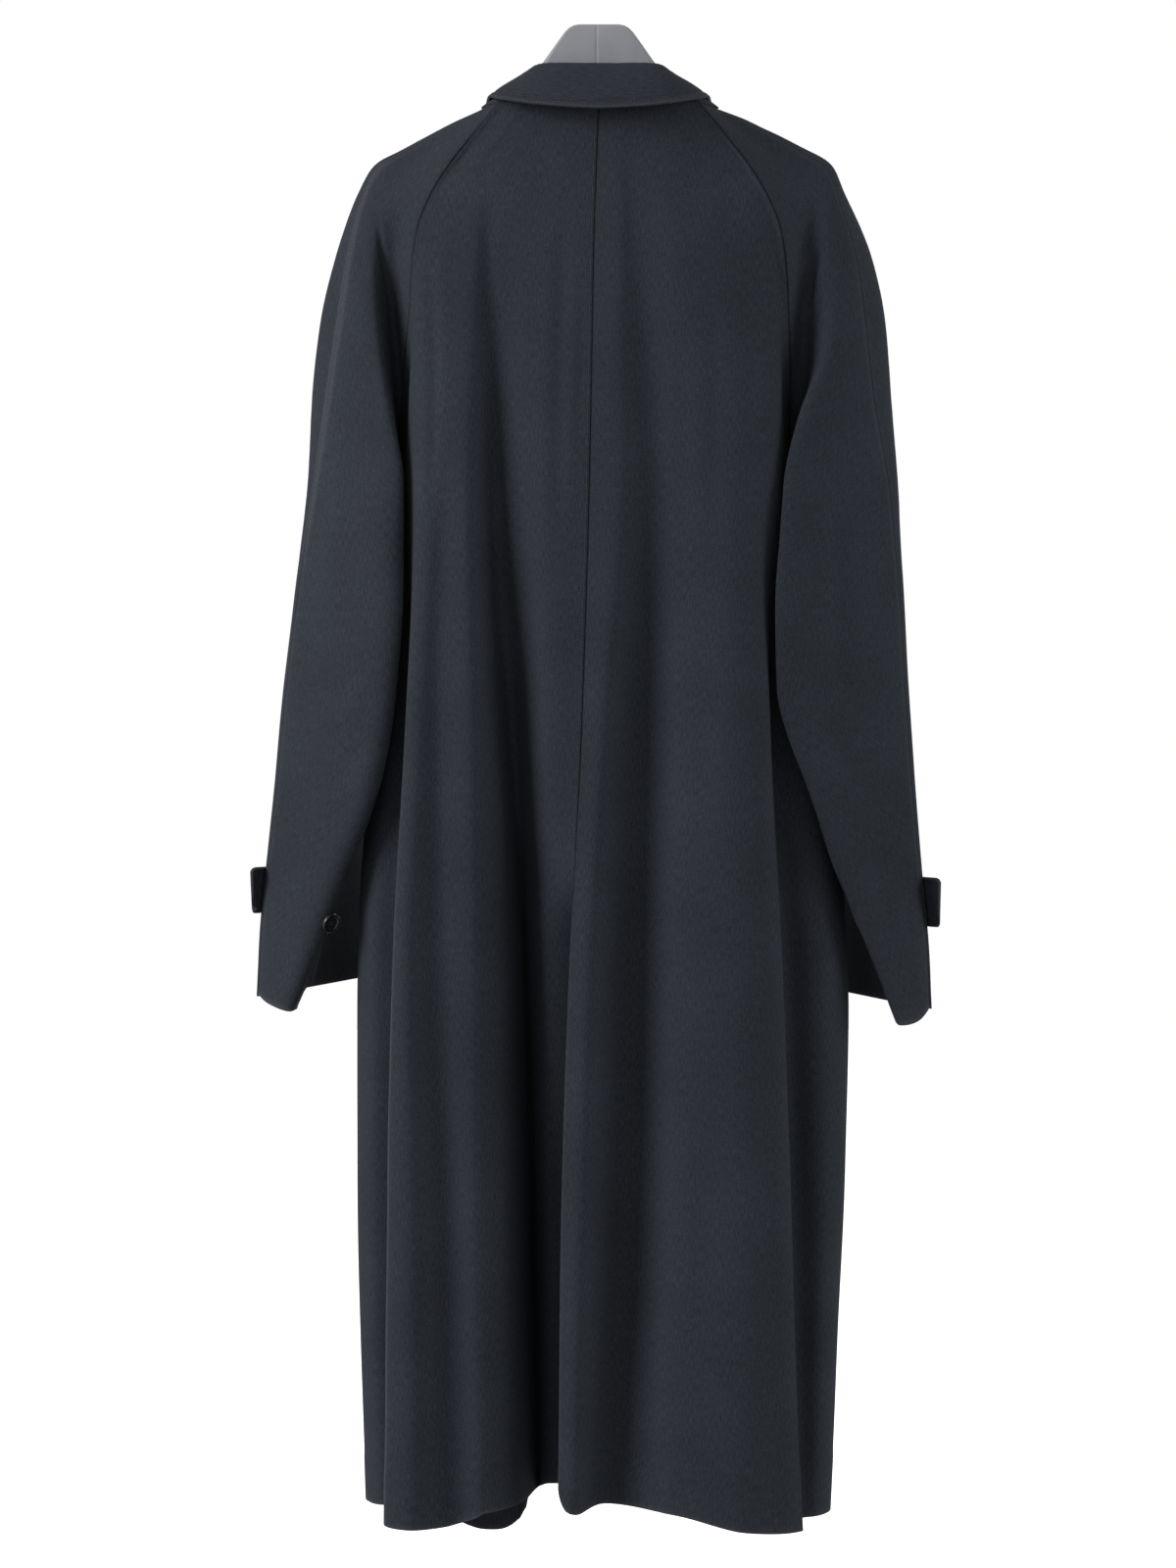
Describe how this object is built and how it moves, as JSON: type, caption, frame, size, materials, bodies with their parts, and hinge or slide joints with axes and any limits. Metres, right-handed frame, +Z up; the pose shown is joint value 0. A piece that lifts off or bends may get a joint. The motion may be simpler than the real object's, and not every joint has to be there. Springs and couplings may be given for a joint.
{
  "type": "raglan coat on a hanger",
  "caption": "Long single-breasted raglan-sleeve wool coat with turn-down collar, cuff straps, side welt pockets and centre-back vent, hanging closed on a moulded coat hanger.",
  "frame": {"origin": "centre of the flat top of the hanger, where the hanger is held", "axes": "+Z up, -Y out of the coat's back, +X towards the wearer's right"},
  "size_m": [0.611, 0.2351, 1.3393],
  "materials": {
    "coat_cloth": "matte fine wool twill",
    "hanger_plastic": "satin moulded plastic",
    "button": "polished resin"
  },
  "bodies": {
    "root": {"back_left": "coat_cloth", "back_right": "coat_cloth", "collar": "coat_cloth", "cuff_button_left": "button", "cuff_button_right": "button", "cuff_strap_left": "coat_cloth", "cuff_strap_right": "coat_cloth", "front_button_1": "button", "front_button_2": "button", "front_button_3": "button", "front_button_4": "button", "front_left": "coat_cloth", "front_right": "coat_cloth", "hanger": "hanger_plastic", "pocket_welt_left": "coat_cloth", "pocket_welt_right": "coat_cloth", "sleeve_left_back": "coat_cloth", "sleeve_left_front": "coat_cloth", "sleeve_right_back": "coat_cloth", "sleeve_right_front": "coat_cloth", "strap_button_left": "button", "strap_button_right": "button"}
  },
  "joints": []
}
